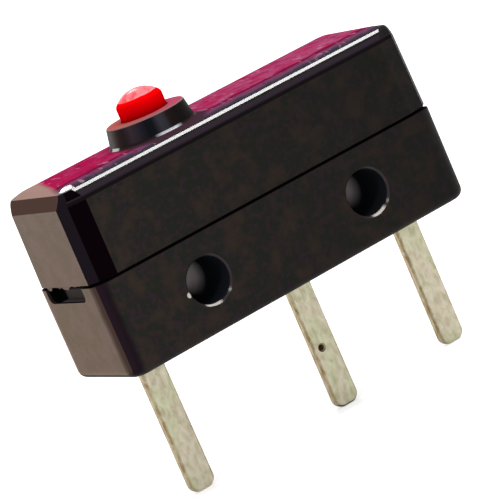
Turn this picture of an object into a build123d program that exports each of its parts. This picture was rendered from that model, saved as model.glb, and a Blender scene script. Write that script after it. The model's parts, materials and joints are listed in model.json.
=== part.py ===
from build123d import *
import os
from math import cos, radians, sin, tan

os.makedirs("parts", exist_ok=True)

# Subminiature snap-action switch.  Millimetres.  +X along the body, +Z towards
# the button, terminals down.  The origin is midway between the axes of the two
# mounting holes, at half the body's width.

# Mounting holes
hole_spacing = 9.525
hole_radius = 1.13
hole_rim = 0.12          # chamfer at each mouth

# Base, the lower half of the housing
body_length = 20.13
body_offset = -0.06      # the body's middle, from the origin
body_width = 6.35
hole_height = 2.47       # hole axes above the underside
base_height = 4.65
base_corner = 0.83       # round vertical corners
base_foot_round = 0.45
hole_roof = 0.62         # wall left above the mounting holes

# Cover, the upper half, with flat-faceted edges
parting_gap = 0.14
side_step = 0.10         # the cover's sides stand this far inside the base's
end_step = 0.02          # and its ends this far
cover_height = 4.48
cover_draft = 1.05       # degrees
cover_wall = 0.80
end_bevel = 0.80
end_bevel_angles = (0, 52, 90)
side_bevel = 0.58
side_bevel_angles = (0, 18, 30, 52, 90)
corner_along = 1.30      # the corners' facets reach this far along the sides
corner_across = 0.65     # and this far across the ends
corner_narrowing = 0.67  # share of that lost from the foot of the end bevel to the top
inner_corner = 0.40

# The joint between the halves: a rim on the base inside a skirt on the cover
skirt_wall = 0.50
skirt_depth = 0.62
rim_wall = 0.50
rim_fit = 0.03

# Opening notch in the left end of the base, as deep as the rim's face
notch_width = 3.75
notch_offset = 0.27      # towards +Y
notch_height = 0.68
notch_corner = 0.30

# Collar and button
button_x = -2.79
collar_margin = 0.26     # flat left between the collar and the cover's bevels
collar_taper = 0.20      # the collar's radius is this much less at its top
collar_height = 1.00
collar_foot_round = 0.12
collar_top_round = 0.10
button_radius = 1.15
button_fit = 0.05        # radial running clearance in the collar
button_side = 0.70       # straight side standing above the collar
button_dome = 0.56
button_shoulder = 0.28   # round between side and dome
flange_radius = 1.60
flange_thickness = 0.62
flange_gap = 0.02        # under the cover's ceiling, when released
stem_radius = 0.58
stem_tip_round = 0.30
button_travel = 0.60

# Terminals, formed from one strip thickness
sheet = 0.51
pin_width = 1.37
pin_length = 6.83        # below the underside
pin_tip_round = 0.48
pin_edge_round = 0.16    # along the edges of a pin
common_pin_inset = 2.315  # pin's axis from the left end of the body
open_pin_x = 0.97
closed_pin_inset = 2.265  # from the right end
slot_fit = 0.02          # round each pin where it passes the base
dent_radius = 0.26       # ball-shaped dent in the middle pin's front
dent_depth = 0.12
dent_drop = 3.71         # below the underside
dent_offset = -0.20      # from the pin's axis
strip_bend = 0.45        # bend radius on the strip's centre line
common_width = 3.00
arm_width = 2.00
plate_overhang = 0.80    # of an arm or foot plate past its contact's axis
plate_corner = 0.30
wall_gap = 0.12          # from a strip to the end of the chamber

# Pivot lug on the common terminal, with a groove for the blade's legs
anchor_length = 2.10     # of the anchor, from the centre line of the upright behind it
lug_spacing = 3.65       # from the same line to the lug's
lug_height = 1.05        # above the common foot
groove_side = 0.24       # square groove, turned on edge
groove_drop = 0.35       # its centre below the lug's top

# Snap-action blade
blade_thickness = 0.12
blade_width = 3.30
blade_rise = 1.46        # blade's underside above the terminal feet
end_plate_length = 3.20
end_plate_overhang = 0.90  # past the contact's axis
blade_corner = 0.35
root_width = 2.40
root_length = 1.45
middle_strip_width = 0.90
leg_width = 0.92
leg_bow = 0.50           # of each leg below its straight line
tip_gap = 0.04           # stem to blade, and leg ends to their groove

# Contacts and rivet
contact_inset = 2.58     # axis from the centre line of the right-hand upright
contact_radius = 0.70
contact_edge = 0.10      # chamfer round each contact face
shank_radius = 0.35
moving_head = 0.40
closed_head = 0.34
contact_gap = 0.45
touch_gap = 0.02         # between the closed pair
rivet_inset = 0.75       # axis from the anchor's end
rivet_head_radius = 0.60
rivet_head = 0.24
rivet_head_edge = 0.10   # chamfer

# Levels
underside_z = -hole_height
base_top_z = underside_z + base_height
floor_z = hole_radius + hole_roof
foot_top_z = floor_z + sheet
cover_foot_z = base_top_z + parting_gap
cover_top_z = cover_foot_z + cover_height
ceiling_z = cover_top_z - cover_wall
shoulder_z = cover_foot_z + skirt_depth
collar_top_z = cover_top_z + collar_height
blade_z = foot_top_z + blade_rise
blade_top_z = blade_z + blade_thickness
tip_z = underside_z - pin_length

# Plan sizes that follow from the above
cover_length = body_length - 2 * end_step
cover_width = body_width - 2 * side_step
skirt_length = cover_length - 2 * skirt_wall
skirt_width = cover_width - 2 * skirt_wall
rim_length = skirt_length - 2 * rim_fit
rim_width = skirt_width - 2 * rim_fit
chamber_length = rim_length - 2 * rim_wall
chamber_width = rim_width - 2 * rim_wall
chamber_end = chamber_length / 2
strip_end = chamber_end - wall_gap - sheet / 2
top_draft = cover_height * tan(radians(cover_draft))
collar_base_radius = cover_width / 2 - top_draft - side_bevel - collar_margin
collar_top_radius = collar_base_radius - collar_taper

# Places along the body that follow from its ends
left_end_x = body_offset - body_length / 2
right_end_x = body_offset + body_length / 2
left_strip_x = body_offset - strip_end
right_strip_x = body_offset + strip_end
common_pin_x = left_end_x + common_pin_inset
closed_pin_x = right_end_x - closed_pin_inset
anchor_end_x = left_strip_x + anchor_length
rivet_x = anchor_end_x - rivet_inset
lug_x = left_strip_x + lug_spacing
contact_x = right_strip_x - contact_inset
blade_end_x = contact_x + end_plate_overhang


def bevel_points(size, angles):
    """(drop, inset) of each crease of a faceted edge, from its foot to its top"""
    return [(size * (1 - sin(radians(a))), size * (1 - cos(radians(a)))) for a in angles]


def inset_at(drop, points):
    """inset of a faceted edge at a drop below the top face"""
    if drop >= points[0][0]:
        return 0.0
    for (low, low_inset), (high, high_inset) in zip(points, points[1:]):
        if drop >= high:
            share = (low - drop) / (low - high)
            return low_inset + share * (high_inset - low_inset)
    return points[-1][1]


def bevelled_rectangle(length, width, along, across):
    """corners of a rectangle whose own corners are cut by two facets each"""
    share = 1 - cos(radians(45))
    cuts = [(0, across), (share * along, share * across), (along, 0)]
    points = []
    for sx, sy, order in ((1, 1, 1), (-1, 1, -1), (-1, -1, 1), (1, -1, -1)):
        for cut_x, cut_y in cuts[::order]:
            points.append((body_offset + sx * (length / 2 - cut_x), sy * (width / 2 - cut_y)))
    return points


# Base
body_plane = Plane((body_offset, 0, 0))
with BuildPart() as base:
    with BuildSketch(body_plane.offset(underside_z)):
        RectangleRounded(body_length, body_width, base_corner)
    extrude(amount=base_height)
    fillet(base.faces().sort_by(Axis.Z)[0].edges(), base_foot_round)
    # rim that the cover's skirt slides over
    with BuildSketch(body_plane.offset(base_top_z)):
        RectangleRounded(rim_length, rim_width, inner_corner + rim_wall)
    extrude(amount=shoulder_z - base_top_z)
    # chamber over the hole roofs
    with BuildSketch(body_plane.offset(floor_z)):
        RectangleRounded(chamber_length, chamber_width, inner_corner)
    extrude(amount=shoulder_z - floor_z, mode=Mode.SUBTRACT)
    # mounting holes
    with BuildSketch(Plane.XZ):
        with GridLocations(hole_spacing, 1, 2, 1):
            Circle(hole_radius)
    extrude(amount=body_width, both=True, mode=Mode.SUBTRACT)
    chamfer(base.edges(Select.LAST).filter_by(GeomType.CIRCLE), hole_rim)
    # slots for the pins
    with BuildSketch(Plane.XY.offset(underside_z)):
        with Locations((common_pin_x, 0), (open_pin_x, 0), (closed_pin_x, 0)):
            RectangleRounded(pin_width + 2 * slot_fit, sheet + 2 * slot_fit, pin_edge_round + slot_fit)
    extrude(amount=floor_z - underside_z, mode=Mode.SUBTRACT)
    # notch in the left end face, open to the parting line, with the rim's face as its back
    with BuildSketch(Plane.YZ.offset(left_end_x)) as notch:
        with Locations((notch_offset, base_top_z - notch_height / 2)):
            Rectangle(notch_width, notch_height)
        fillet(notch.vertices().group_by(Axis.Y)[0], notch_corner)
    extrude(amount=(body_length - rim_length) / 2, mode=Mode.SUBTRACT)
base.part.label = "base"

# Cover
end_creases = bevel_points(end_bevel, end_bevel_angles)
side_creases = bevel_points(side_bevel, side_bevel_angles)
drops = sorted({drop for drop, inset in end_creases + side_creases} | {cover_height}, reverse=True)

with BuildPart() as cover:
    for drop in drops:
        draft = (cover_height - drop) * tan(radians(cover_draft))
        length = cover_length - 2 * draft - 2 * inset_at(drop, end_creases)
        width = cover_width - 2 * draft - 2 * inset_at(drop, side_creases)
        corner_share = 1 - corner_narrowing * max(0, 1 - drop / end_bevel)
        outline = bevelled_rectangle(length, width, corner_share * corner_along, corner_share * corner_across)
        with BuildSketch(Plane.XY.offset(cover_top_z - drop)):
            Polygon(*outline, align=None)
    loft(ruled=True)
    # collar round the button
    with BuildSketch(Plane.XY.offset(cover_top_z)):
        with Locations((button_x, 0)):
            Circle(collar_base_radius)
    with BuildSketch(Plane.XY.offset(collar_top_z)):
        with Locations((button_x, 0)):
            Circle(collar_top_radius)
    loft()
    collar_edges = cover.edges().filter_by(GeomType.CIRCLE)
    fillet(collar_edges.sort_by(Axis.Z)[-1], collar_top_round)
    fillet(cover.edges().filter_by(GeomType.CIRCLE).sort_by(Axis.Z)[0], collar_foot_round)
    # inside of the cover, and the wider skirt at its foot
    with BuildSketch(body_plane.offset(cover_foot_z)):
        RectangleRounded(cover_length - 2 * cover_wall, cover_width - 2 * cover_wall, inner_corner)
    extrude(amount=ceiling_z - cover_foot_z, mode=Mode.SUBTRACT)
    with BuildSketch(body_plane.offset(cover_foot_z)):
        RectangleRounded(skirt_length, skirt_width, inner_corner + rim_wall + rim_fit)
    extrude(amount=skirt_depth, mode=Mode.SUBTRACT)
    # button's bore
    with BuildSketch(Plane.XY.offset(ceiling_z)):
        with Locations((button_x, 0)):
            Circle(button_radius + button_fit)
    extrude(amount=collar_top_z - ceiling_z, mode=Mode.SUBTRACT)
cover.part.label = "cover"

# Button
stem_tip_z = blade_top_z + tip_gap
flange_top_z = ceiling_z - flange_gap
flange_z = flange_top_z - flange_thickness
side_top_z = collar_top_z + button_side
dome_top_z = side_top_z + button_dome
button_axis = Axis((button_x, 0, 0), (0, 0, 1))

with BuildPart() as plunger:
    with BuildSketch(Plane(origin=(button_x, 0, 0), x_dir=(1, 0, 0), z_dir=(0, -1, 0))) as half_section:
        with BuildLine():
            Polyline(
                (0, dome_top_z),
                (0, stem_tip_z),
                (stem_radius, stem_tip_z),
                (stem_radius, flange_z),
                (flange_radius, flange_z),
                (flange_radius, flange_top_z),
                (button_radius, flange_top_z),
                (button_radius, side_top_z),
            )
            TangentArc((0, dome_top_z), (button_radius, side_top_z), tangent=(1, 0))
        make_face()
        fillet(half_section.vertices().sort_by_distance((button_radius, side_top_z))[0], button_shoulder)
        fillet(half_section.vertices().sort_by_distance((stem_radius, stem_tip_z))[0], stem_tip_round)
    revolve(axis=button_axis)
plunger.part.label = "plunger"


# Terminals
foot_z = floor_z + sheet / 2
anchor_z = blade_z - sheet
lug_top_z = foot_top_z + lug_height
groove_z = lug_top_z - groove_drop
lug_face_x = lug_x + sheet / 2
closed_face_z = blade_top_z + moving_head + touch_gap
arm_z = closed_face_z + closed_head
open_face_z = blade_z - moving_head - contact_gap


def add_strip(points, width):
    """a strip bent along the given centre line, across the body's width"""
    with BuildSketch(Plane.XZ) as strip:
        with BuildLine():
            FilletPolyline(*points, radius=strip_bend)
        trace(line_width=sheet)
    extrude(strip.sketch, amount=width / 2, both=True)


def add_disc(x, low_z, high_z, radius):
    """a round head or shank standing between two levels"""
    with BuildSketch(Plane.XY.offset(low_z)) as disc:
        with Locations((x, 0)):
            Circle(radius)
    extrude(disc.sketch, amount=high_z - low_z)


def cut_bore(x, low_z, high_z):
    """a hole for a shank between two levels"""
    with BuildSketch(Plane.XY.offset(low_z)) as bore:
        with Locations((x, 0)):
            Circle(shank_radius)
    extrude(bore.sketch, amount=high_z - low_z, mode=Mode.SUBTRACT)


# A terminal's pin, centred on the Z axis, with its edges rounded
with BuildPart() as pin:
    with BuildSketch(Plane.XZ) as pin_outline:
        with Locations((0, (tip_z + foot_z) / 2)):
            Rectangle(pin_width, foot_z - tip_z)
        fillet(pin_outline.vertices().group_by(Axis.Y)[0], pin_tip_round)
    extrude(amount=sheet / 2, both=True)
    edges_by_depth = pin.edges().group_by(Axis.Y)
    for outline_edges in (edges_by_depth[0], edges_by_depth[-1]):
        fillet(outline_edges.sort_by(Axis.Z)[:-1], pin_edge_round)  # all but the top edge, inside

# Common terminal: the blade's anchor at the top, its pivot lug on the right
with BuildPart() as common_terminal:
    add_strip(
        [
            (anchor_end_x, blade_z - sheet / 2),
            (left_strip_x, blade_z - sheet / 2),
            (left_strip_x, foot_z),
            (lug_x, foot_z),
            (lug_x, lug_top_z),
        ],
        common_width,
    )
    with Locations((common_pin_x, 0)):
        add(pin.part)
    with BuildSketch(Plane.XZ):
        with Locations((lug_face_x, groove_z)):
            Rectangle(groove_side, groove_side, rotation=45)
    extrude(amount=common_width, both=True, mode=Mode.SUBTRACT)
    cut_bore(rivet_x, anchor_z, blade_z)
common_terminal.part.label = "common_terminal"

# Normally open terminal: a foot plate that carries the lower contact
plate_start_x = open_pin_x - pin_width / 2
plate_end_x = contact_x + plate_overhang
with BuildPart() as normally_open_terminal:
    with BuildSketch(Plane.XY.offset(floor_z)):
        with Locations(((plate_start_x + plate_end_x) / 2, 0)):
            RectangleRounded(plate_end_x - plate_start_x, arm_width, plate_corner)
    extrude(amount=sheet)
    with Locations((open_pin_x, 0)):
        add(pin.part)
    with Locations((open_pin_x + dent_offset, dent_depth - sheet / 2 - dent_radius, underside_z - dent_drop)):
        Sphere(dent_radius, mode=Mode.SUBTRACT)
    cut_bore(contact_x, floor_z, foot_top_z)
normally_open_terminal.part.label = "normally_open_terminal"

# Normally closed terminal: an arm over the blade's end
with BuildPart() as normally_closed_terminal:
    add_strip(
        [
            (contact_x - plate_overhang, arm_z + sheet / 2),
            (right_strip_x, arm_z + sheet / 2),
            (right_strip_x, foot_z),
            (closed_pin_x - pin_width / 2, foot_z),
        ],
        arm_width,
    )
    with Locations((closed_pin_x, 0)):
        add(pin.part)
    cut_bore(contact_x, arm_z, arm_z + sheet)
normally_closed_terminal.part.label = "normally_closed_terminal"

# Blade
root_x = anchor_end_x - root_length
plate_x = blade_end_x - end_plate_length
leg_end_x = lug_face_x - groove_side / 2 + tip_gap
leg_z = blade_z + blade_thickness / 2
leg_middle = ((plate_x + leg_end_x) / 2, (leg_z + groove_z) / 2 - leg_bow)

with BuildPart() as snap_blade:
    with BuildSketch(Plane.XY.offset(blade_z)):
        with Locations((root_x + root_length / 2, 0)):
            RectangleRounded(root_length, root_width, blade_corner)
        with Locations(((anchor_end_x + plate_x) / 2, 0)):
            Rectangle(plate_x - anchor_end_x + 2 * blade_corner, middle_strip_width)
        with Locations((plate_x + end_plate_length / 2, 0)):
            RectangleRounded(end_plate_length, blade_width, blade_corner)
    extrude(amount=blade_thickness)
    # two bowed legs, from the end plate to the groove in the pivot lug
    with BuildSketch(Plane.XZ.offset(blade_width / 2 - leg_width)):
        with BuildLine():
            ThreePointArc((plate_x + blade_corner, leg_z), leg_middle, (leg_end_x, groove_z))
        trace(line_width=blade_thickness)
    extrude(amount=leg_width)
    mirror(about=Plane.XZ)
    for bore_x in (rivet_x, contact_x):
        cut_bore(bore_x, blade_z, blade_top_z)
snap_blade.part.label = "snap_blade"

# Rivet and contacts
with BuildPart() as blade_rivet:
    add_disc(rivet_x, anchor_z - rivet_head, anchor_z, rivet_head_radius)
    add_disc(rivet_x, anchor_z, blade_top_z, shank_radius)
    add_disc(rivet_x, blade_top_z, blade_top_z + rivet_head, rivet_head_radius)
    head_edges = blade_rivet.edges().filter_by(GeomType.CIRCLE).sort_by(Axis.Z)
    chamfer([head_edges[0], head_edges[-1]], rivet_head_edge)
blade_rivet.part.label = "blade_rivet"

with BuildPart() as moving_contact:
    add_disc(contact_x, blade_z - moving_head, blade_z, contact_radius)
    add_disc(contact_x, blade_z, blade_top_z, shank_radius)
    add_disc(contact_x, blade_top_z, blade_top_z + moving_head, contact_radius)
    face_edges = moving_contact.edges().filter_by(GeomType.CIRCLE).sort_by(Axis.Z)
    chamfer([face_edges[0], face_edges[-1]], contact_edge)
moving_contact.part.label = "moving_contact"

with BuildPart() as normally_closed_contact:
    add_disc(contact_x, closed_face_z, arm_z, contact_radius)
    add_disc(contact_x, arm_z, arm_z + sheet, shank_radius)
    chamfer(normally_closed_contact.edges().filter_by(GeomType.CIRCLE).sort_by(Axis.Z)[0], contact_edge)
normally_closed_contact.part.label = "normally_closed_contact"

with BuildPart() as normally_open_contact:
    add_disc(contact_x, floor_z, foot_top_z, shank_radius)
    add_disc(contact_x, foot_top_z, open_face_z, contact_radius)
    chamfer(normally_open_contact.edges().filter_by(GeomType.CIRCLE).sort_by(Axis.Z)[-1], contact_edge)
normally_open_contact.part.label = "normally_open_contact"

# Files
export_step(base.part, "parts/base.step")
export_step(cover.part, "parts/cover.step")
export_step(plunger.part, "parts/plunger.step")
export_step(common_terminal.part, "parts/common_terminal.step")
export_step(normally_open_terminal.part, "parts/normally_open_terminal.step")
export_step(normally_closed_terminal.part, "parts/normally_closed_terminal.step")
export_step(snap_blade.part, "parts/snap_blade.step")
export_step(blade_rivet.part, "parts/blade_rivet.step")
export_step(moving_contact.part, "parts/moving_contact.step")
export_step(normally_closed_contact.part, "parts/normally_closed_contact.step")
export_step(normally_open_contact.part, "parts/normally_open_contact.step")
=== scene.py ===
import json
import math
import random

import bpy
from mathutils import Matrix, Vector


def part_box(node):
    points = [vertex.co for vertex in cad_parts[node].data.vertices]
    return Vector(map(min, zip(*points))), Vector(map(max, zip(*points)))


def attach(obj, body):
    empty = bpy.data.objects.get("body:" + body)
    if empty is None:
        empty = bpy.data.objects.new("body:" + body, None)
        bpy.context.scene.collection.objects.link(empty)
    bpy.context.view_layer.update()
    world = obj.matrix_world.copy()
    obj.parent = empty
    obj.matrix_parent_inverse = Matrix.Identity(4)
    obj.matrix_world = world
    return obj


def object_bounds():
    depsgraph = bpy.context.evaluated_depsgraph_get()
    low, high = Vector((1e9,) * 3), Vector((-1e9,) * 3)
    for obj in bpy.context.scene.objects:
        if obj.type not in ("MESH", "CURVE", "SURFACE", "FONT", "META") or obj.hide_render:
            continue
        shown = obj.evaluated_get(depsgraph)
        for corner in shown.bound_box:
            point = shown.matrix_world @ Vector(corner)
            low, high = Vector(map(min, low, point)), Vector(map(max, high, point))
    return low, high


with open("model.json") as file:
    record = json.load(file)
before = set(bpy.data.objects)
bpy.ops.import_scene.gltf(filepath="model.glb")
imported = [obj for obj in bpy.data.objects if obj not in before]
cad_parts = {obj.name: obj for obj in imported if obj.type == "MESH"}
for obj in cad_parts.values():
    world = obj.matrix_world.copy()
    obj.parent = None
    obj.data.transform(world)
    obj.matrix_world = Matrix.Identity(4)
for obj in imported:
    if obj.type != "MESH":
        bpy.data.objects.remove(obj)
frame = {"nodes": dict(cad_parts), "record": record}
cadLow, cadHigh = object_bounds()
mm = 0.001  # sizes below are in millimetres, times this

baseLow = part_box("base")[0]
coverLow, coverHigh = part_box("cover")
buttonLow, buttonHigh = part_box("plunger")
mounts = {mount["name"]: mount for mount in frame["record"]["mounts"]}
holeOffset = mounts["mounting_holes"]["dims"]["spacing_x_mm"] / 2 * mm
holeRadius = mounts["mounting_holes"]["dims"]["hole_r_mm"] * mm
buttonX = (buttonLow.x + buttonHigh.x) / 2
collarTop = coverHigh.z
coverTop = collarTop - 1.0 * mm  # the flat round the collar


def linear(code):
    channels = [int(code[i : i + 2], 16) / 255 for i in (0, 2, 4)]
    return [c / 12.92 if c <= 0.04045 else ((c + 0.055) / 1.055) ** 2.4 for c in channels] + [1]


def addNode(tree, kind, settings={}, links={}, stops=()):
    node = tree.nodes.new("ShaderNode" + kind)
    for name, value in settings.items():
        if isinstance(name, int) or name in node.inputs:
            node.inputs[name].default_value = value
        else:
            setattr(node, name, value)
    for name, source in links.items():
        if isinstance(source, bpy.types.Node):  # a whole node stands for the first output in use
            source = next(output for output in source.outputs if output.enabled)
        tree.links.new(source, node.inputs[name])
    for number, (position, code) in enumerate(stops):
        ramp = node.color_ramp.elements
        element = ramp[number] if number < len(ramp) else ramp.new(position)
        element.position, element.color = position, linear(code)
    return node


def newMaterial(name):
    material = bpy.data.materials.new(name)
    material.use_nodes = True
    material.node_tree.nodes.clear()
    return material, material.node_tree


dull = {"Specular IOR Level": 0.0, "Roughness": 0.5}  # a moulded face with no gloss at all

# Phenolic moulding powder, pressed in a spark-eroded mould: near black and matt, with faint green, plum
# and brown clouds and a fine grain. Painted light makes the left end's outermost face a paler tan, with a
# sheen; its upright corners carry painted dark reflections, its bevel a painted lighter brown, and level
# faces painted shade.
housing = {
    "tones": ("281f23", "1f1c1a", "1a1e18"),
    "tintSize": 0.28,
    "brown": "2d241e",
    "cloudSize": 0.9,
    "halfLength": 10,
    "paintedFalloff": (1.02, 0.5),  # times the tone, at the left end and at the right: painted light at the left, fading to painted shade at the right
    "grainSize": 0.12,
    "grainDepth": 0.004,
    "roughness": (0.44, 0.58),
    "specular": 0.06,
    # painted light: the paler tan of the left end's outermost face
    "paintedLight": ("2e2a1e", "3e3230"),
    "haze": 0.75,
    "hazeTint": "e8bc98",
    "hazeRoughness": 0.4,
    "endDepth": 0.155,  # how far in from the very end the face with painted light reaches
    # painted light on the left end's bevel
    "bevelPaintedLight": "4a3832",
    "levelSlope": 0.97,  # the upward part of a normal above which a face counts as level
}


def phenolicShaders(tree, place, piece):
    axes = addNode(tree, "SeparateXYZ", {}, {0: place})
    normal = addNode(tree, "SeparateXYZ", {}, {0: addNode(tree, "TexCoord").outputs["Normal"]})
    size = housing["tintSize"] * mm
    tint = addNode(tree, "TexNoise", {"Scale": 1 / size, "Detail": 2}, {"Vector": place})
    colour = addNode(tree, "ValToRGB", {}, {"Fac": tint}, zip((0.36, 0.5, 0.62), housing["tones"]))
    size = housing["cloudSize"] * mm
    clouds = addNode(tree, "TexNoise", {"Scale": 1 / size, "Detail": 4}, {"Vector": place})
    browned = addNode(tree, "MapRange", {"From Min": 0.48, "From Max": 0.66}, {"Value": clouds})
    brown = {"data_type": "RGBA", 7: linear(housing["brown"])}
    colour = addNode(tree, "Mix", brown, {0: browned, 6: colour})
    # painted light at the left end, fading to painted shade at the right
    ends = {"From Min": -housing["halfLength"] * mm, "From Max": housing["halfLength"] * mm}
    ends["To Min"], ends["To Max"] = housing["paintedFalloff"]
    paintedFalloff = addNode(tree, "MapRange", ends, {"Value": axes.outputs["X"]})
    colour = addNode(tree, "VectorMath", {"operation": "SCALE"}, {0: colour, "Scale": paintedFalloff})
    size = housing["grainSize"] * mm
    grain = addNode(tree, "TexNoise", {"Scale": 1 / size, "Detail": 3}, {"Vector": place})
    span = {"From Min": 0.3, "From Max": 0.7}
    span["To Min"], span["To Max"] = housing["roughness"]
    rough = addNode(tree, "MapRange", span, {"Value": grain})
    relief = {"Strength": 0.6, "Distance": housing["grainDepth"] * mm}
    bump = addNode(tree, "Bump", relief, {"Height": grain})
    gloss = {"Specular IOR Level": housing["specular"]}
    links = {"Base Color": colour, "Roughness": rough, "Normal": bump}
    matt = addNode(tree, "BsdfPrincipled", gloss, links)
    # painted light: a paler tan colour and a sheen, on the outermost face of the left end only
    paintedLight = addNode(tree, "ValToRGB", {}, {"Fac": clouds}, zip((0.4, 0.6), housing["paintedLight"]))
    haze = {
        "Specular IOR Level": housing["specular"],
        "Sheen Weight": housing["haze"],
        "Sheen Tint": linear(housing["hazeTint"]),
        "Sheen Roughness": housing["hazeRoughness"],
    }
    links = {"Base Color": paintedLight, "Roughness": rough, "Normal": bump}
    paintedLitEnd = addNode(tree, "BsdfPrincipled", haze, links)
    endwards = addNode(tree, "Math", {"operation": "LESS_THAN", 1: -0.93}, {0: normal.outputs["X"]})
    outermost = {"operation": "LESS_THAN", 1: baseLow.x + housing["endDepth"] * mm}
    outermost = addNode(tree, "Math", outermost, {0: axes.outputs["X"]})
    leftEnd = addNode(tree, "Math", {"operation": "MULTIPLY"}, {0: endwards, 1: outermost})
    both = addNode(tree, "MixShader", {}, {0: leftEnd, 1: matt, 2: paintedLitEnd})
    # painted shading: painted shade on level faces, a painted lighter brown on the left end's bevel, and
    # painted dark reflections on its corners, where the normal has an X and a Y part
    slopes = {0: normal.outputs["X"], 1: normal.outputs["Y"]}
    corner = addNode(tree, "Math", {"operation": "MULTIPLY"}, slopes)
    corner = addNode(tree, "Math", {"operation": "ABSOLUTE"}, {0: corner})
    start, full = piece["cornerSlopes"]
    corner = addNode(tree, "MapRange", {"From Min": start, "From Max": full}, {"Value": corner})
    bevel = {"From Min": 0.2, "From Max": 0.35}
    bevel = addNode(tree, "MapRange", bevel, {"Value": normal.outputs["Z"]})
    corner = addNode(tree, "Math", {"operation": "MAXIMUM"}, {0: corner, 1: bevel})
    leftwards = addNode(tree, "Math", {"operation": "LESS_THAN", 1: -0.02}, {0: normal.outputs["X"]})
    leftHalf = addNode(tree, "Math", {"operation": "LESS_THAN", 1: 0.0}, {0: axes.outputs["X"]})
    for limit in (leftwards, leftHalf):
        corner = addNode(tree, "Math", {"operation": "MULTIPLY"}, {0: corner, 1: limit})
    upwards = addNode(tree, "Math", {"operation": "ABSOLUTE"}, {0: normal.outputs["Z"]})
    level = {"operation": "GREATER_THAN", 1: housing["levelSlope"]}
    level = addNode(tree, "Math", level, {0: upwards})
    corner = addNode(tree, "Math", {"operation": "MAXIMUM"}, {0: corner, 1: level})
    turned = addNode(tree, "MapRange", {"From Min": -1}, {"Value": normal.outputs["X"]})
    tones = (housing["bevelPaintedLight"], piece["corners"][0], *piece["corners"])
    tone = addNode(tree, "ValToRGB", {}, {"Fac": turned}, zip((0.07, 0.09, 0.15, 0.35), tones))
    paintedShading = addNode(tree, "BsdfPrincipled", dull, {"Base Color": tone})
    return both, paintedShading, corner


# The lower half of that moulding: painted shade and a patch of painted light in its bores, painted shade
# and shadow in the notch of its left end, and a painted highlight at the foot of each rim in front
base = {
    "corners": ("231920", "1a1218"),  # painted dark reflections, on the facet beside the end, and beside the front, whose tone is also the painted shade on level faces
    "cornerSlopes": (0.2, 0.42),  # the normal's X times its Y, where a corner starts and where it is full
    # painted shade in the bores, and painted light on their deep wall that faces left
    "boreShade": "191c21",
    "borePaintedLight": "b0a5a6",
    "litFrom": (-0.8, 0.2),  # along the bore, where the painted light starts and where it is full
    "rimMiddle": 0.06,  # out from the bore's wall
    "rimReach": 0.045,
    "rimTone": "2c2524",
    "rimSpecular": 0.15,
    "rimRoughness": 0.2,
    # painted highlights at the foot of each rim in front
    "rimHighlightPlace": (0.22, -1.13),  # from a hole's axis, away from the other hole and upwards
    "rimHighlightSize": (0.3, 0.5),  # where it is full and where it ends
    "rimHighlightWidth": 0.085,
    "rimHighlightDepth": 0.225,
    "paleSpotPlace": (-5.99, -3.17, -0.18),
    "paleSpotSize": (0.11, 0.15),
    "rimPaleTone": "c4bcb4",
    "notchMiddle": (-9.5, 0.25),
    "notchReach": (0.47, 1.9),
    # painted light on the notch's back wall, and painted shadow in black
    "notchShades": ("4a4242", "0c0a0c"),
    "blackAbove": (1.94, 2.04),
    "blackBehind": (1.2, 1.4),
}


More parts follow.
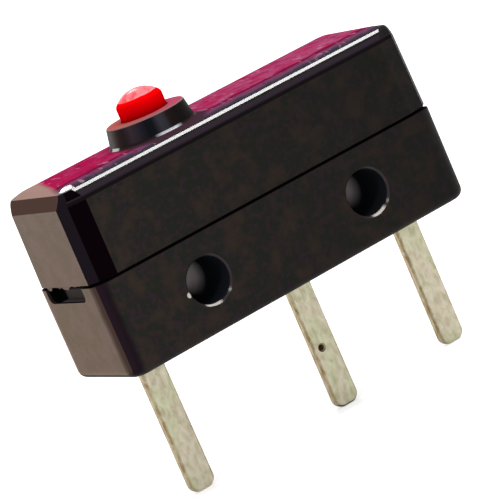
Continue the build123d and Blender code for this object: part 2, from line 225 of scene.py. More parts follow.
def makeBaseMaterial():
    material, tree = newMaterial("Phenolic moulding, matt from a spark-eroded mould")
    place = addNode(tree, "TexCoord").outputs["Object"]
    axes = addNode(tree, "SeparateXYZ", {}, {0: place})
    normal = addNode(tree, "SeparateXYZ", {}, {0: addNode(tree, "TexCoord").outputs["Normal"]})
    matt, paintedShading, corner = phenolicShaders(tree, place, base)
    both = addNode(tree, "MixShader", {}, {0: corner, 1: matt, 2: paintedShading})
    # the bores, within their radius of either hole's axis, painted dark for the shade in them, with
    # painted light on the deep part of the wall that faces left
    side = addNode(tree, "Math", {"operation": "ABSOLUTE"}, {0: axes.outputs["X"]})
    across = addNode(tree, "CombineXYZ", {}, {0: side, 1: axes.outputs["Z"]})
    axis = {"operation": "DISTANCE", 1: (holeOffset, 0, 0)}
    away = addNode(tree, "VectorMath", axis, {0: across})
    inBore = addNode(tree, "Math", {"operation": "LESS_THAN", 1: holeRadius + 0.01 * mm}, {0: away})
    litSide = {"From Min": -0.5, "From Max": -0.95}
    litSide = addNode(tree, "MapRange", litSide, {"Value": normal.outputs["X"]})
    start, full = base["litFrom"]
    deep = {"From Min": start * mm, "From Max": full * mm}
    deep = addNode(tree, "MapRange", deep, {"Value": axes.outputs["Y"]})
    paintedLight = addNode(tree, "Math", {"operation": "MULTIPLY"}, {0: litSide, 1: deep})
    tones = {"data_type": "RGBA", 6: linear(base["boreShade"]), 7: linear(base["borePaintedLight"])}
    tone = addNode(tree, "Mix", tones, {0: paintedLight})
    bore = addNode(tree, "BsdfPrincipled", dull, {"Base Color": tone})
    both = addNode(tree, "MixShader", {}, {0: inBore, 1: both, 2: bore})
    # the notch's back wall is painted grey for the light on it, and black along its top and to the rear
    # for the shade and shadow there
    depth, width = [middle * mm for middle in base["notchMiddle"]]
    inwards, sideways = [reach * mm for reach in base["notchReach"]]
    depth = addNode(tree, "Math", {"operation": "COMPARE", 1: depth, 2: inwards}, {0: axes.outputs["X"]})
    width = addNode(tree, "Math", {"operation": "COMPARE", 1: width, 2: sideways}, {0: axes.outputs["Y"]})
    recess = addNode(tree, "Math", {"operation": "MULTIPLY"}, {0: depth, 1: width})
    start, full = base["blackAbove"]
    high = {"From Min": start * mm, "From Max": full * mm}
    high = addNode(tree, "MapRange", high, {"Value": axes.outputs["Z"]})
    start, full = base["blackBehind"]
    rear = {"From Min": start * mm, "From Max": full * mm}
    rear = addNode(tree, "MapRange", rear, {"Value": axes.outputs["Y"]})
    black = addNode(tree, "Math", {"operation": "MAXIMUM"}, {0: high, 1: rear})
    notchShade = addNode(tree, "ValToRGB", {}, {"Fac": black}, zip((0.0, 1.0), base["notchShades"]))
    notchShading = addNode(tree, "BsdfPrincipled", dull, {"Base Color": notchShade})
    both = addNode(tree, "MixShader", {}, {0: recess, 1: both, 2: notchShading})
    # the chamfered rims
    onRim = {"operation": "COMPARE", 1: holeRadius + base["rimMiddle"] * mm, 2: base["rimReach"] * mm}
    onRim = addNode(tree, "Math", onRim, {0: away})
    paleLift = {
        "Base Color": linear(base["rimTone"]),
        "Specular IOR Level": base["rimSpecular"],
        "Roughness": base["rimRoughness"],
    }
    rim = addNode(tree, "BsdfPrincipled", paleLift)
    both = addNode(tree, "MixShader", {}, {0: onRim, 1: both, 2: rim})
    # a painted highlight at the foot of each rim in front, and a pale spot in the left rim's mouth
    outwards, upwards = base["rimHighlightPlace"]
    spot = {"operation": "DISTANCE", 1: (holeOffset + outwards * mm, upwards * mm, 0)}
    paleMarks = addNode(tree, "VectorMath", spot, {0: across})
    full, end = base["rimHighlightSize"]
    paleMarks = addNode(tree, "MapRange", {"From Min": end * mm, "From Max": full * mm}, {"Value": paleMarks})
    byHole = {"operation": "LESS_THAN", 1: holeRadius + base["rimHighlightWidth"] * mm}
    byHole = addNode(tree, "Math", byHole, {0: away})
    front = {"operation": "LESS_THAN", 1: baseLow.y + base["rimHighlightDepth"] * mm}
    front = addNode(tree, "Math", front, {0: axes.outputs["Y"]})
    for limit in (byHole, front):
        paleMarks = addNode(tree, "Math", {"operation": "MULTIPLY"}, {0: paleMarks, 1: limit})
    spot = {"operation": "DISTANCE", 1: [value * mm for value in base["paleSpotPlace"]]}
    paleSpot = addNode(tree, "VectorMath", spot, {0: place})
    full, end = base["paleSpotSize"]
    paleSpot = addNode(tree, "MapRange", {"From Min": end * mm, "From Max": full * mm}, {"Value": paleSpot})
    paleMarks = addNode(tree, "Math", {"operation": "MAXIMUM"}, {0: paleMarks, 1: paleSpot})
    markLayer = addNode(tree, "BsdfPrincipled", {"Base Color": linear(base["rimPaleTone"]), **dull})
    both = addNode(tree, "MixShader", {}, {0: paleMarks, 1: both, 2: markLayer})
    addNode(tree, "OutputMaterial", {}, {"Surface": both})
    return material


# The upper half: the same moulding, with the facets along its top polished, and a painted magenta
# reflection on the flat top that is darker towards the front edge, with a painted pinkish-grey glare at
# the left end
cover = {
    # painted dark reflections on the left corners; the darker tone is also the painted shade on level
    # faces
    "corners": ("1c161d", "0a0409"),
    "cornerSlopes": (0.06, 0.18),
    "polishedTone": "1a1618",
    "polishedSpecular": 0.6,
    "polishedRoughness": 0.2,
    "facetSlope": 0.664,  # the upward part of the polished facet's normal
    "brightFrom": 0.17,  # below the flat top
    "endFacetFoot": 0.165,  # below the flat top
    "endFacetX": -8.9,  # the end's polished facets lie left of this
    "endFacetY": 2.3,  # and further than this from the middle
    "steepSlope": 0.174,  # the upward part of the steep facet's normal
    # painted light on the steep facet, and painted shade in the line along its foot
    "steepPaintedLight": "302830",
    "lineShade": "161214",
    "lineMiddle": 0.70,  # below the flat top
    "lineReach": 0.12,
    "lineFade": (0.71, 0.58),  # below the flat top, where it is full and where it ends
    "collarReflections": (
        (0.0, "2a1a12"),  # painted reflections, by the normal's X, from the left round the front to the right
        (0.05, "241c1e"),
        (0.1, "382e35"),
        (0.18, "242028"),
        (0.25, "0f1217"),
        (0.31, "0f1217"),
        (0.39, "34323a"),
        (0.45, "302e34"),
        (0.51, "1c1614"),
        (0.65, "140f0e"),
    ),
    "collarGloss": {"Specular IOR Level": 0.02, "Roughness": 0.4},
    # painted pinkish highlight along the collar's top edge
    "ringEdgeHighlight": "8a5e60",
    "ringEdgeHeight": 0.06,
    "filletHeight": 0.12,
    "footTone": "241a1a",
    # painted highlights on the collar's foot fillet
    "footHighlightTone": "c4c4c8",
    "footHighlightShift": -0.2,  # of the front highlight's middle, from the button's axis
    "frontHighlight": (0.4, 0.75),  # either side of its middle, where it is full and where it ends
    "leftHighlight": (0.25, 0.4),
    "halfWidth": 3,  # the bands are placed from minus this to plus this
    "reflectionBands": (
        (-2.85, "2c2c36"),  # painted reflection, by distance from the long centre line, minus to the front
        (-2.62, "3a2e3e"),
        (-2.48, "5c3a50"),
        (-2.0, "6c2c4c"),
        (-1.85, "5c102f"),
        (-1.5, "64102f"),
        (-1.3, "901440"),
    ),
    "wanderSize": 0.7,
    "mottled": "8c3a5c",
    "mottledFrom": (-9, 4),  # along the top, where it is faintest and strongest
    "speckSize": 0.3,
    "speckTone": "5c1038",
    "paleTone": "a0788a",
    # painted pinkish-grey glare at the left end of the top
    "leftGlare": "8c7169",
    "glareFrom": (-9.03, -8.71),  # painted glare, on the long centre line, where it is full and where it ends
    "glareLean": 0.31,  # how far its edge leans from square
    # painted shade round the collar's foot
    "collarShade": "3a2630",
    "collarShadeY": -0.9,
    "collarShadeSize": (2.1, 2.5),
    # painted pinkish reflection on the ring at the collar's top
    "ringReflections": ("9a534b", "9c435c"),
    "ringReach": 2,  # either side of the button's axis
    "upperSlope": 0.946,  # the upward part of the normal of the facets that touch the flat top
}
hair = 0.004 * mm  # play in telling one level from the next


def polishedFacets(tree, axes, normal):
    # 1 on the facet along each long edge, and on the left end's corner facets beside the top
    slope = {"operation": "COMPARE", 1: cover["facetSlope"], 2: 0.02}
    slope = addNode(tree, "Math", slope, {0: normal.outputs["Z"]})
    sideways = addNode(tree, "Math", {"operation": "ABSOLUTE"}, {0: normal.outputs["Y"]})
    facing = addNode(tree, "Math", {"operation": "GREATER_THAN", 1: 0.72}, {0: sideways})
    bright = {"operation": "LESS_THAN", 1: coverTop - cover["brightFrom"] * mm}
    bright = addNode(tree, "Math", bright, {0: axes.outputs["Z"]})
    long = slope
    for limit in (facing, bright):
        long = addNode(tree, "Math", {"operation": "MULTIPLY"}, {0: long, 1: limit})
    half = cover["endFacetFoot"] / 2 * mm
    endFacet = {"operation": "COMPARE", 1: coverTop - half, 2: half}
    endFacet = addNode(tree, "Math", endFacet, {0: axes.outputs["Z"]})
    beyond = {"operation": "LESS_THAN", 1: cover["endFacetX"] * mm}
    beyond = addNode(tree, "Math", beyond, {0: axes.outputs["X"]})
    distance = addNode(tree, "Math", {"operation": "ABSOLUTE"}, {0: axes.outputs["Y"]})
    outer = addNode(tree, "Math", {"operation": "GREATER_THAN", 1: cover["endFacetY"] * mm}, {0: distance})
    sloping = {"operation": "LESS_THAN", 1: housing["levelSlope"]}
    sloping = addNode(tree, "Math", sloping, {0: normal.outputs["Z"]})
    for limit in (beyond, outer, sloping):
        endFacet = addNode(tree, "Math", {"operation": "MULTIPLY"}, {0: endFacet, 1: limit})
    return addNode(tree, "Math", {"operation": "MAXIMUM"}, {0: long, 1: endFacet})


def steepFacet(tree, axes, normal, both):
    # painted light makes the steep facet under the polished one a shade paler, and painted shade a dark
    # line along its foot
    steep = {"operation": "COMPARE", 1: cover["steepSlope"], 2: 0.05}
    steep = addNode(tree, "Math", steep, {0: normal.outputs["Z"]})
    line = {"operation": "COMPARE", 1: coverTop - cover["lineMiddle"] * mm, 2: cover["lineReach"] * mm}
    line = addNode(tree, "Math", line, {0: axes.outputs["Z"]})
    steep = addNode(tree, "Math", {"operation": "MAXIMUM"}, {0: steep, 1: line})
    sideways = addNode(tree, "Math", {"operation": "ABSOLUTE"}, {0: normal.outputs["Y"]})
    facing = addNode(tree, "Math", {"operation": "GREATER_THAN", 1: 0.9}, {0: sideways})
    steep = addNode(tree, "Math", {"operation": "MULTIPLY"}, {0: steep, 1: facing})
    full, end = cover["lineFade"]
    high = {"From Min": coverTop - full * mm, "From Max": coverTop - end * mm}
    high = addNode(tree, "MapRange", high, {"Value": axes.outputs["Z"]})
    tones = cover["lineShade"], cover["steepPaintedLight"]
    tone = addNode(tree, "ValToRGB", {}, {"Fac": high}, zip((0.2, 1.0), tones))
    paintedPale = addNode(tree, "BsdfPrincipled", dull, {"Base Color": tone})
    return addNode(tree, "MixShader", {}, {0: steep, 1: both, 2: paintedPale})


def collarSide(tree, axes, normal, both):
    # painted reflections in bands round the collar's side and a painted pinkish highlight on its top edge,
    # and a fillet at its foot with painted highlights in front and to the left
    turned = addNode(tree, "MapRange", {"From Min": -1}, {"Value": normal.outputs["X"]})
    reflectionBands = addNode(tree, "ValToRGB", {}, {"Fac": turned}, cover["collarReflections"])
    edge = {"operation": "GREATER_THAN", 1: collarTop - cover["ringEdgeHeight"] * mm}
    edge = addNode(tree, "Math", edge, {0: axes.outputs["Z"]})
    paleMarks = {"data_type": "RGBA", 7: linear(cover["ringEdgeHighlight"])}
    reflectionBands = addNode(tree, "Mix", paleMarks, {0: edge, 6: reflectionBands})
    collar = addNode(tree, "BsdfPrincipled", cover["collarGloss"], {"Base Color": reflectionBands})
    onCollar = {"operation": "GREATER_THAN", 1: coverTop + hair}
    onCollar = addNode(tree, "Math", onCollar, {0: axes.outputs["Z"]})
    both = addNode(tree, "MixShader", {}, {0: onCollar, 1: both, 2: collar})
    footHighlights = []
    front = ("X", "Y", buttonX + cover["footHighlightShift"] * mm, cover["frontHighlight"])
    for along, outwards, middle, (full, end) in (front, ("Y", "X", 0, cover["leftHighlight"])):
        offset = addNode(tree, "Math", {"operation": "SUBTRACT", 1: middle}, {0: axes.outputs[along]})
        offset = addNode(tree, "Math", {"operation": "ABSOLUTE"}, {0: offset})
        footHighlight = {"From Min": end * mm, "From Max": full * mm}
        footHighlight = addNode(tree, "MapRange", footHighlight, {"Value": offset})
        facing = {"From Min": -0.2, "From Max": -0.5}
        facing = addNode(tree, "MapRange", facing, {"Value": normal.outputs[outwards]})
        footHighlights.append(addNode(tree, "Math", {"operation": "MULTIPLY"}, {0: footHighlight, 1: facing}))
    footHighlighted = addNode(tree, "Math", {"operation": "MAXIMUM"}, {0: footHighlights[0], 1: footHighlights[1]})
    tones = {"data_type": "RGBA", 6: linear(cover["footTone"]), 7: linear(cover["footHighlightTone"])}
    tone = addNode(tree, "Mix", tones, {0: footHighlighted})
    foot = addNode(tree, "BsdfPrincipled", cover["collarGloss"], {"Base Color": tone})
    half = cover["filletHeight"] / 2 * mm
    onFoot = {"operation": "COMPARE", 1: coverTop + half + hair, 2: half}
    onFoot = addNode(tree, "Math", onFoot, {0: axes.outputs["Z"]})
    return addNode(tree, "MixShader", {}, {0: onFoot, 1: both, 2: foot})


def reflectionTone(tree, place, axes):
    # the painted magenta reflection: banded along the front edge, the bands' edges wandering a little, and
    # mottled to the right
    size = cover["wanderSize"] * mm
    wander = addNode(tree, "TexNoise", {"Scale": 1 / size, "Detail": 3}, {"Vector": place})
    shift = addNode(tree, "MapRange", {"To Min": -0.05, "To Max": 0.05}, {"Value": wander})
    halfWidth = cover["halfWidth"]
    across = {"From Min": -halfWidth * mm, "From Max": halfWidth * mm}
    across = addNode(tree, "MapRange", across, {"Value": axes.outputs["Y"]})
    across = addNode(tree, "Math", {"operation": "ADD"}, {0: across, 1: shift})
    stops = [((distance / halfWidth + 1) / 2, code) for distance, code in cover["reflectionBands"]]
    colour = addNode(tree, "ValToRGB", {}, {"Fac": across}, stops)
    streaks = addNode(tree, "VectorMath", {"operation": "MULTIPLY", 1: (1, 0.3, 1)}, {0: place})
    size = cover["speckSize"] * mm
    streaks = addNode(tree, "TexNoise", {"Scale": 1 / size, "Detail": 3}, {"Vector": streaks})
    faint, strong = cover["mottledFrom"]
    rightwards = {"From Min": faint * mm, "From Max": strong * mm, "To Min": 0.35, "To Max": 0.7}
    rightwards = addNode(tree, "MapRange", rightwards, {"Value": axes.outputs["X"]})
    mottled = addNode(tree, "Math", {"operation": "MULTIPLY"}, {0: wander, 1: rightwards})
    mottled = addNode(tree, "MapRange", {"From Min": 0.2, "From Max": 0.4}, {"Value": mottled})
    inner = addNode(tree, "Math", {"operation": "GREATER_THAN", 1: 0.27}, {0: across})
    mottled = addNode(tree, "Math", {"operation": "MULTIPLY"}, {0: mottled, 1: inner})
    paintedPale = {"data_type": "RGBA", 7: linear(cover["mottled"])}
    colour = addNode(tree, "Mix", paintedPale, {0: mottled, 6: colour})
    for tone, low, high in (("speckTone", 0.60, 0.66), ("paleTone", 0.38, 0.30)):
        amount = {"From Min": low, "From Max": high, "To Max": 0.6}
        amount = addNode(tree, "MapRange", amount, {"Value": streaks})
        speck = {"data_type": "RGBA", 7: linear(cover[tone])}
        colour = addNode(tree, "Mix", speck, {0: amount, 6: colour})
    # painted pinkish-grey glare at the left end
    leaning = {"operation": "DOT_PRODUCT", 1: (1, -cover["glareLean"], 0)}
    leaning = addNode(tree, "VectorMath", leaning, {0: place})
    full, end = cover["glareFrom"]
    paleLift = addNode(tree, "MapRange", {"From Min": end * mm, "From Max": full * mm}, {"Value": leaning})
    leftGlare = {"data_type": "RGBA", 7: linear(cover["leftGlare"])}
    colour = addNode(tree, "Mix", leftGlare, {0: paleLift, 6: colour})
    # painted shade round the collar's foot, and a painted pinkish reflection on the ring at the collar's
    # top
    spot = {"operation": "DISTANCE", 1: (buttonX, cover["collarShadeY"] * mm, coverTop)}
    near = addNode(tree, "VectorMath", spot, {0: place})
    full, end = cover["collarShadeSize"]
    near = addNode(tree, "MapRange", {"From Min": end * mm, "From Max": full * mm}, {"Value": near})
    dark = {"data_type": "RGBA", 7: linear(cover["collarShade"])}
    colour = addNode(tree, "Mix", dark, {0: near, 6: colour})
    reach = cover["ringReach"] * mm
    along = {"From Min": buttonX - reach, "From Max": buttonX + reach}
    along = addNode(tree, "MapRange", along, {"Value": axes.outputs["X"]})
    ring = addNode(tree, "ValToRGB", {}, {"Fac": along}, zip((0.2, 0.8), cover["ringReflections"]))
    onRing = {"operation": "GREATER_THAN", 1: collarTop - hair}
    onRing = addNode(tree, "Math", onRing, {0: axes.outputs["Z"]})
    colour = addNode(tree, "Mix", {"data_type": "RGBA"}, {0: onRing, 6: colour, 7: ring})
    return colour, onRing


def makeCoverMaterial():
    material, tree = newMaterial("Phenolic moulding, matt, its top lacquered")
    place = addNode(tree, "TexCoord").outputs["Object"]
    axes = addNode(tree, "SeparateXYZ", {}, {0: place})
    normal = addNode(tree, "SeparateXYZ", {}, {0: addNode(tree, "TexCoord").outputs["Normal"]})
    matt, paintedShading, corner = phenolicShaders(tree, place, cover)
    both = addNode(tree, "MixShader", {}, {0: corner, 1: matt, 2: paintedShading})
    both = steepFacet(tree, axes, normal, both)
    both = collarSide(tree, axes, normal, both)
    colour, onRing = reflectionTone(tree, place, axes)
    # the flat top and the ring carry the painted magenta reflection
    paintedReflection = addNode(tree, "BsdfPrincipled", dull, {"Base Color": colour})
    flat = addNode(tree, "Math", {"operation": "COMPARE", 1: coverTop, 2: hair}, {0: axes.outputs["Z"]})
    upper = {"operation": "COMPARE", 1: cover["upperSlope"], 2: 0.01}
    upper = addNode(tree, "Math", upper, {0: normal.outputs["Z"]})
    onTop = flat
    for part in (onRing, upper):
        onTop = addNode(tree, "Math", {"operation": "MAXIMUM"}, {0: onTop, 1: part})
    both = addNode(tree, "MixShader", {}, {0: onTop, 1: both, 2: paintedReflection})
    polish = {
        "Base Color": linear(cover["polishedTone"]),
        "Specular IOR Level": cover["polishedSpecular"],
        "Roughness": cover["polishedRoughness"],
    }
    polished = addNode(tree, "BsdfPrincipled", polish)
    facets = polishedFacets(tree, axes, normal)
    both = addNode(tree, "MixShader", {}, {0: facets, 1: both, 2: polished})
    addNode(tree, "OutputMaterial", {}, {"Surface": both})
    return material


# Nylon, injection moulded and dyed right through: a deep clean red, darker at the foot with painted shade,
# and paler on the glossy dome with a painted pinkish highlight
button = {
    "tones": (
        (0.0, "980002"),  # by height, from the collar to the top of the dome, painted shade low down and a painted highlight on the dome
        (0.25, "cc0008"),
        (0.42, "e20006"),
        (0.7, "ea0206"),
        (0.72, "f88a8e"),
        (0.78, "f46a72"),
        (1.0, "ee5c66"),
    ),
    "domeFrom": 0.7,
    "patchTone": "ee2a32",
    "cloudSize": 0.35,
    "reliefDepth": 0.005,
    "roughness": 0.3,
    "specular": 0.12,
}


def makeButtonMaterial():
    material, tree = newMaterial("Nylon, injection moulded")
    place = addNode(tree, "TexCoord").outputs["Object"]
    axes = addNode(tree, "SeparateXYZ", {}, {0: place})
    size = button["cloudSize"] * mm
    clouds = addNode(tree, "TexNoise", {"Scale": 1 / size, "Detail": 2}, {"Vector": place})
    up = {"From Min": collarTop, "From Max": buttonHigh.z}
    up = addNode(tree, "MapRange", up, {"Value": axes.outputs["Z"]})
    shift = addNode(tree, "MapRange", {"To Min": -0.02, "To Max": 0.02}, {"Value": clouds})
    up = addNode(tree, "Math", {"operation": "ADD"}, {0: up, 1: shift})
    # painted shade darkens the foot, and a painted pinkish highlight pales the dome
    colour = addNode(tree, "ValToRGB", {}, {"Fac": up}, button["tones"])
    onDome = {"From Min": button["domeFrom"], "From Max": button["domeFrom"] + 0.02}
    onDome = addNode(tree, "MapRange", onDome, {"Value": up})
    # redder patches in the dome's painted highlight
    patches = {"From Min": 0.5, "From Max": 0.62, "To Max": 0.8}
    patches = addNode(tree, "MapRange", patches, {"Value": clouds})
    patches = addNode(tree, "Math", {"operation": "MULTIPLY"}, {0: patches, 1: onDome})
    patch = {"data_type": "RGBA", 7: linear(button["patchTone"])}
    colour = addNode(tree, "Mix", patch, {0: patches, 6: colour})
    side = addNode(tree, "BsdfPrincipled", dull, {"Base Color": colour})
    relief = {"Strength": 0.2, "Distance": button["reliefDepth"] * mm}
    bump = addNode(tree, "Bump", relief, {"Height": clouds})
    gloss = {"Specular IOR Level": button["specular"], "Roughness": button["roughness"]}
    dome = addNode(tree, "BsdfPrincipled", gloss, {"Base Color": colour, "Normal": bump})
    both = addNode(tree, "MixShader", {}, {0: onDome, 1: side, 2: dome})
    addNode(tree, "OutputMaterial", {}, {"Surface": both})
    return material


# Brass strip, hot-dipped in tin: a dull warm white with khaki clouds drawn out along the pin, and a
# darker brass tone of painted shade on the strip's side edges
pins = {
    "tones": ("938c72", "a8a289", "b2ac96", "bcb7a6"),
    "cloudSize": 0.26,
    "stretch": 0.5,
    "tints": ("a8ac8c", "b4a998"),
    "tintSize": 0.7,
    # painted shade on the side edges
    "edgeShade": "84704e",
    # painted shade in the dent and under the tip
    "pinShade": "2c1c0c",
    "dentPlace": (-0.20, -0.15, -3.71),  # from the middle pin's axis and the underside
    "dentSize": (0.13, 0.19),  # where the painted shade is full and where it ends
    "tipSize": (0.6, 0.8),
    "roughness": (0.53, 0.37),
    "reliefDepth": 0.008,
}


def makePinMaterial():
    material, tree = newMaterial("Brass strip, hot-tinned")
    place = addNode(tree, "TexCoord").outputs["Object"]
    normal = addNode(tree, "SeparateXYZ", {}, {0: addNode(tree, "TexCoord").outputs["Normal"]})
    drawn = addNode(tree, "Mapping", {"Scale": (1, 1, pins["stretch"])}, {"Vector": place})
    cloudy = {"Scale": 1 / (pins["cloudSize"] * mm), "Detail": 4, "Distortion": 0.6}
    clouds = addNode(tree, "TexNoise", cloudy, {"Vector": drawn})
    stops = zip((0.34, 0.46, 0.56, 0.68), pins["tones"])
    colour = addNode(tree, "ValToRGB", {}, {"Fac": clouds}, stops)
    size = pins["tintSize"] * mm
    tint = addNode(tree, "TexNoise", {"Scale": 1 / size, "Detail": 2}, {"Vector": drawn})
    tinted = addNode(tree, "ValToRGB", {}, {"Fac": tint}, zip((0.4, 0.6), pins["tints"]))
    colour = addNode(tree, "Mix", {"data_type": "RGBA", 0: 0.5}, {6: colour, 7: tinted})
    # painted shade: the side edges are darker, in patches
    sideways = addNode(tree, "Math", {"operation": "ABSOLUTE"}, {0: normal.outputs["X"]})
    edge = addNode(tree, "MapRange", {"From Min": 0.15, "From Max": 0.6}, {"Value": sideways})
    markLayer = {"From Min": 0.35, "From Max": 0.6, "To Min": 1.0, "To Max": 0.5}
    markLayer = addNode(tree, "MapRange", markLayer, {"Value": clouds})
    edgeShaded = addNode(tree, "Math", {"operation": "MULTIPLY"}, {0: edge, 1: markLayer})
    edgeShade = {"data_type": "RGBA", 7: linear(pins["edgeShade"])}
    colour = addNode(tree, "Mix", edgeShade, {0: edgeShaded, 6: colour})
    # painted shade in the middle pin's dent and on the downward faces at its tip
    middle = sorted(mount["pos_m"][0] for name, mount in mounts.items() if name.endswith("_pin"))[1]
    x, y, z = [value * mm for value in pins["dentPlace"]]
    dent = {"operation": "DISTANCE", 1: (middle + x, y, baseLow.z + z)}
    dent = addNode(tree, "VectorMath", dent, {0: place})
    full, end = pins["dentSize"]
    pinShaded = addNode(tree, "MapRange", {"From Min": end * mm, "From Max": full * mm}, {"Value": dent})
    tip = {"operation": "DISTANCE", 1: (middle, 0, cadLow.z)}
    tip = addNode(tree, "VectorMath", tip, {0: place})
    full, end = pins["tipSize"]
    tip = addNode(tree, "MapRange", {"From Min": end * mm, "From Max": full * mm}, {"Value": tip})
    under = addNode(tree, "MapRange", {"From Min": -0.3, "From Max": -0.6}, {"Value": normal.outputs["Z"]})
    under = addNode(tree, "Math", {"operation": "MULTIPLY"}, {0: under, 1: tip})
    pinShaded = addNode(tree, "Math", {"operation": "MAXIMUM"}, {0: pinShaded, 1: under})
    pinShade = {"data_type": "RGBA", 7: linear(pins["pinShade"])}
    colour = addNode(tree, "Mix", pinShade, {0: pinShaded, 6: colour})
    span = {"From Min": 0.3, "From Max": 0.7}
    span["To Min"], span["To Max"] = pins["roughness"]
    rough = addNode(tree, "MapRange", span, {"Value": clouds})
    relief = {"Strength": 0.4, "Distance": pins["reliefDepth"] * mm}
    bump = addNode(tree, "Bump", relief, {"Height": clouds})
    links = {"Base Color": colour, "Roughness": rough, "Normal": bump}
    surface = addNode(tree, "BsdfPrincipled", {"Metallic": 1.0}, links)
    addNode(tree, "OutputMaterial", {}, {"Surface": surface})
    return material


# The metals inside, each with the fine marks of its making: rolling lines along the blade, and lines
# along the axis of the rivet and the contacts, which are headed from drawn wire. Each has its name, its
# tone, its roughness, and how often its marks repeat along X, Y and Z.
metals = {
    "blade": ("Beryllium copper, rolled", "c98a5a", 0.28, (0.1, 1, 1)),
    "rivet": ("Brass wire, headed", "c9a45c", 0.3, (1, 1, 0.1)),
    "contact": ("Silver alloy wire, headed", "d9d6ce", 0.3, (1, 1, 0.1)),
}
markSize = 0.15 * mm
markTone = 0.8  # of the metal's own tone, where a mark is darkest


def makeMetalMaterial(name, tone, roughness, stretch):
    material, tree = newMaterial(name)
    place = addNode(tree, "TexCoord").outputs["Object"]
    drawn = addNode(tree, "Mapping", {"Scale": stretch}, {"Vector": place})
    lines = addNode(tree, "TexNoise", {"Scale": 1 / markSize, "Detail": 3}, {"Vector": drawn})
    colour = addNode(tree, "ValToRGB", {}, {"Fac": lines}, ((0.35, tone), (0.65, tone)))
    colour.color_ramp.elements[0].color = [markTone * c for c in linear(tone)[:3]] + [1]
    span = {"From Min": 0.3, "From Max": 0.7, "To Min": roughness - 0.05, "To Max": roughness + 0.05}
    rough = addNode(tree, "MapRange", span, {"Value": lines})
    links = {"Base Color": colour, "Roughness": rough}
    surface = addNode(tree, "BsdfPrincipled", {"Metallic": 1.0}, links)
    addNode(tree, "OutputMaterial", {}, {"Surface": surface})
    return material


coverMaterial = makeCoverMaterial()
pinMaterial = makePinMaterial()
contactMaterial = makeMetalMaterial(*metals["contact"])
finishes = {
    "base": makeBaseMaterial(),
    "cover": coverMaterial,
    "plunger": makeButtonMaterial(),
    "common_terminal": pinMaterial,
    "normally_open_terminal": pinMaterial,
    "normally_closed_terminal": pinMaterial,
    "snap_blade": makeMetalMaterial(*metals["blade"]),
    "blade_rivet": makeMetalMaterial(*metals["rivet"]),
    "moving_contact": contactMaterial,
    "normally_closed_contact": contactMaterial,
    "normally_open_contact": contactMaterial,
}
for name, node in frame["nodes"].items():
    node.data.materials.clear()
    node.data.materials.append(finishes[name])
print("materials done")

# A ragged skin of flash hangs from the cover's foot over the notch in the left end
flash = {
    "inset": 0.075,  # from the very end of the part
    "thickness": 0.03,
    "height": 0.03,  # between its teeth
    "from": -1.55,  # across the end
    "to": 2.05,
    "teeth": 18,
    "longest": 0.2,
    "seed": 4,
}


def makeFlash():
    length = flash["to"] - flash["from"]
    bpy.ops.object.select_all(action="DESELECT")
    across = (flash["to"] + flash["from"]) / 2 * mm
    middle = (cadLow.x + flash["inset"] * mm, across, coverLow.z)
    bpy.ops.mesh.primitive_cube_add(size=mm, location=middle)
    piece = bpy.context.object
    piece.name = "notchFlash"
    piece.scale = flash["thickness"], length, flash["height"]
    bpy.ops.object.transform_apply(location=True, rotation=True, scale=True)
    for edge in piece.data.edges:
        first, second = (piece.data.vertices[index].co for index in edge.vertices)
        edge.select = abs(first.y - second.y) > length / 2 * mm
    for vertex in piece.data.vertices:
        vertex.select = False
    bpy.ops.object.mode_set(mode="EDIT")
    bpy.ops.mesh.select_mode(type="EDGE")
    bpy.ops.mesh.subdivide(number_cuts=flash["teeth"] - 1)
    bpy.ops.mesh.select_mode(type="VERT")
    bpy.ops.object.mode_set(mode="OBJECT")
    dice = random.Random(flash["seed"])
    low = min(vertex.co.z for vertex in piece.data.vertices)
    for step in range(1, flash["teeth"]):
        y = (flash["from"] + length * step / flash["teeth"]) * mm
        for polygon in piece.data.polygons:
            polygon.select = False
        for edge in piece.data.edges:
            edge.select = False
        for vertex in piece.data.vertices:
            atStep = abs(vertex.co.y - y) < 0.01 * mm
            vertex.select = atStep and vertex.co.z < low + 0.001 * mm
        drop = flash["longest"] * dice.random() ** 1.5
        bpy.ops.object.mode_set(mode="EDIT")
        bpy.ops.transform.translate(value=(0, 0, -drop * mm))
        bpy.ops.object.mode_set(mode="OBJECT")
    piece.data.materials.append(coverMaterial)
    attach(piece, "housing")


makeFlash()
print("flash done")

studio = {
    "floorSize": 3000,
    "floorTone": "d8d8d8",
    "floorGlow": 0.5,
    "room": 0.7,  # strength of the light that comes from all round
}


def seenDirectly(tree):
    # 1 for what the camera, a mirror or a window shows, and 0 for the light that falls on things
    path = addNode(tree, "LightPath")
    seen = path.outputs["Is Camera Ray"]
    for name in ("Is Glossy Ray", "Is Transmission Ray"):
        seen = addNode(tree, "Math", {"operation": "MAXIMUM"}, {0: seen, 1: path.outputs[name]})
    return seen


def makeFloor():
    bpy.ops.object.select_all(action="DESELECT")
    bpy.ops.mesh.primitive_plane_add(size=studio["floorSize"] * mm, location=(0, 0, cadLow.z))
    floor = bpy.context.object
    floor.name = "studioFloor"
    bpy.ops.object.transform_apply(location=True, rotation=True, scale=True)
    material, tree = newMaterial("White studio floor")
    paint = addNode(tree, "BsdfDiffuse", {"Color": linear(studio["floorTone"])})
    glow = addNode(tree, "Emission", {"Color": (1, 1, 1, 1), "Strength": studio["floorGlow"]})
    bright = addNode(tree, "AddShader", {}, {0: paint, 1: glow})
    mixed = addNode(tree, "MixShader", {}, {0: seenDirectly(tree), 1: paint, 2: bright})
    addNode(tree, "OutputMaterial", {}, {"Surface": mixed})
    floor.data.materials.append(material)


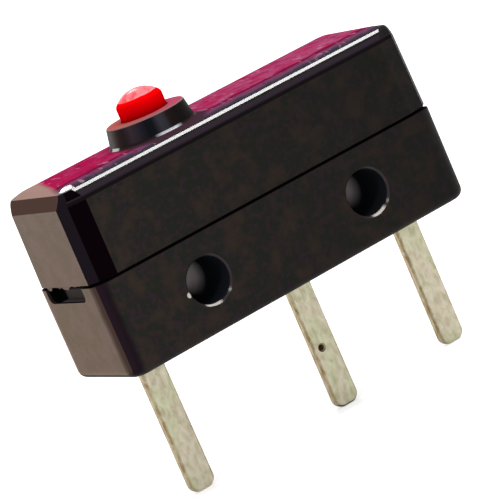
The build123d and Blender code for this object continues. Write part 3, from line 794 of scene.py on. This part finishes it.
def makeRoom():
    world = bpy.data.worlds.new("Studio")
    bpy.context.scene.world = world
    world.use_nodes = True
    tree = world.node_tree
    tree.nodes.clear()
    room = addNode(tree, "Background", {"Color": (1, 1, 1, 1), "Strength": studio["room"]})
    white = addNode(tree, "Background", {"Color": (1, 1, 1, 1), "Strength": 1.0})
    mixed = addNode(tree, "MixShader", {}, {0: seenDirectly(tree), 1: room, 2: white})
    addNode(tree, "OutputWorld", {}, {"Surface": mixed})


# each lamp: direction from the part, distance and size in mm, watts
lamps = {
    "frontLamp": ((-0.478, -0.451, 0.754), 300, (40, 40), 0.2),
    "edgeLamp": ((0.43, -0.26, 0.87), 300, (140, 20), 0.3),
    "topLamp": ((0.3, 0.25, 0.92), 300, (180, 180), 0.3),
    "rearLamp": ((0.3, 0.73, 0.61), 300, (60, 60), 0.2),
    "endLamp": ((-0.457, 0.871, 0.04), 260, (160, 60), 0.225),
}


def makeLamp(name, direction, distance, size, watts):
    data = bpy.data.lights.new(name, "AREA")
    data.shape = "RECTANGLE"
    data.size, data.size_y = size[0] * mm, size[1] * mm
    data.energy = watts
    lamp = bpy.data.objects.new(name, data)
    bpy.context.scene.collection.objects.link(lamp)
    away = Vector(direction).normalized()
    upright = away.cross(Vector((1, 0, 0))).normalized()  # the long side stays in line with the body
    lamp.matrix_world = Matrix((upright.cross(away), upright, away)).transposed().to_4x4()
    lamp.location = away * distance * mm


camera = {
    "azimuth": 27.70,  # degrees, to the left of the front
    "elevation": 10.43,
    "roll": 23.44,
    "distance": 147.2,
    "lens": 223.3,
    "film": 36,
    "aimRight": -0.299,  # the picture's middle, from the origin, along the camera's own axes
    "aimUp": -0.565,
}


def makeCamera():
    azimuth, elevation, roll = (math.radians(camera[k]) for k in ("azimuth", "elevation", "roll"))
    level = Vector((math.cos(azimuth), -math.sin(azimuth), 0))
    outwards = Vector((-math.sin(azimuth), -math.cos(azimuth), 0))
    back = outwards * math.cos(elevation) + Vector((0, 0, math.sin(elevation)))
    rise = back.cross(level)
    right = level * math.cos(roll) - rise * math.sin(roll)
    up = level * math.sin(roll) + rise * math.cos(roll)
    place = back * camera["distance"] * mm
    target = (right * camera["aimRight"] + up * camera["aimUp"]) * mm
    back = (place - target).normalized()
    right = up.cross(back).normalized()
    up = back.cross(right)
    data = bpy.data.cameras.new("frontCamera")
    data.lens, data.sensor_width = camera["lens"], camera["film"]
    data.clip_start, data.clip_end = 0.01, 10
    eye = bpy.data.objects.new("frontCamera", data)
    bpy.context.scene.collection.objects.link(eye)
    eye.matrix_world = Matrix((right, up, back)).transposed().to_4x4()
    eye.location = place
    bpy.context.scene.camera = eye


makeFloor()
makeRoom()
for name, settings in lamps.items():
    makeLamp(name, *settings)
makeCamera()
bpy.context.scene.view_settings.view_transform = "Standard"
print("studio done")
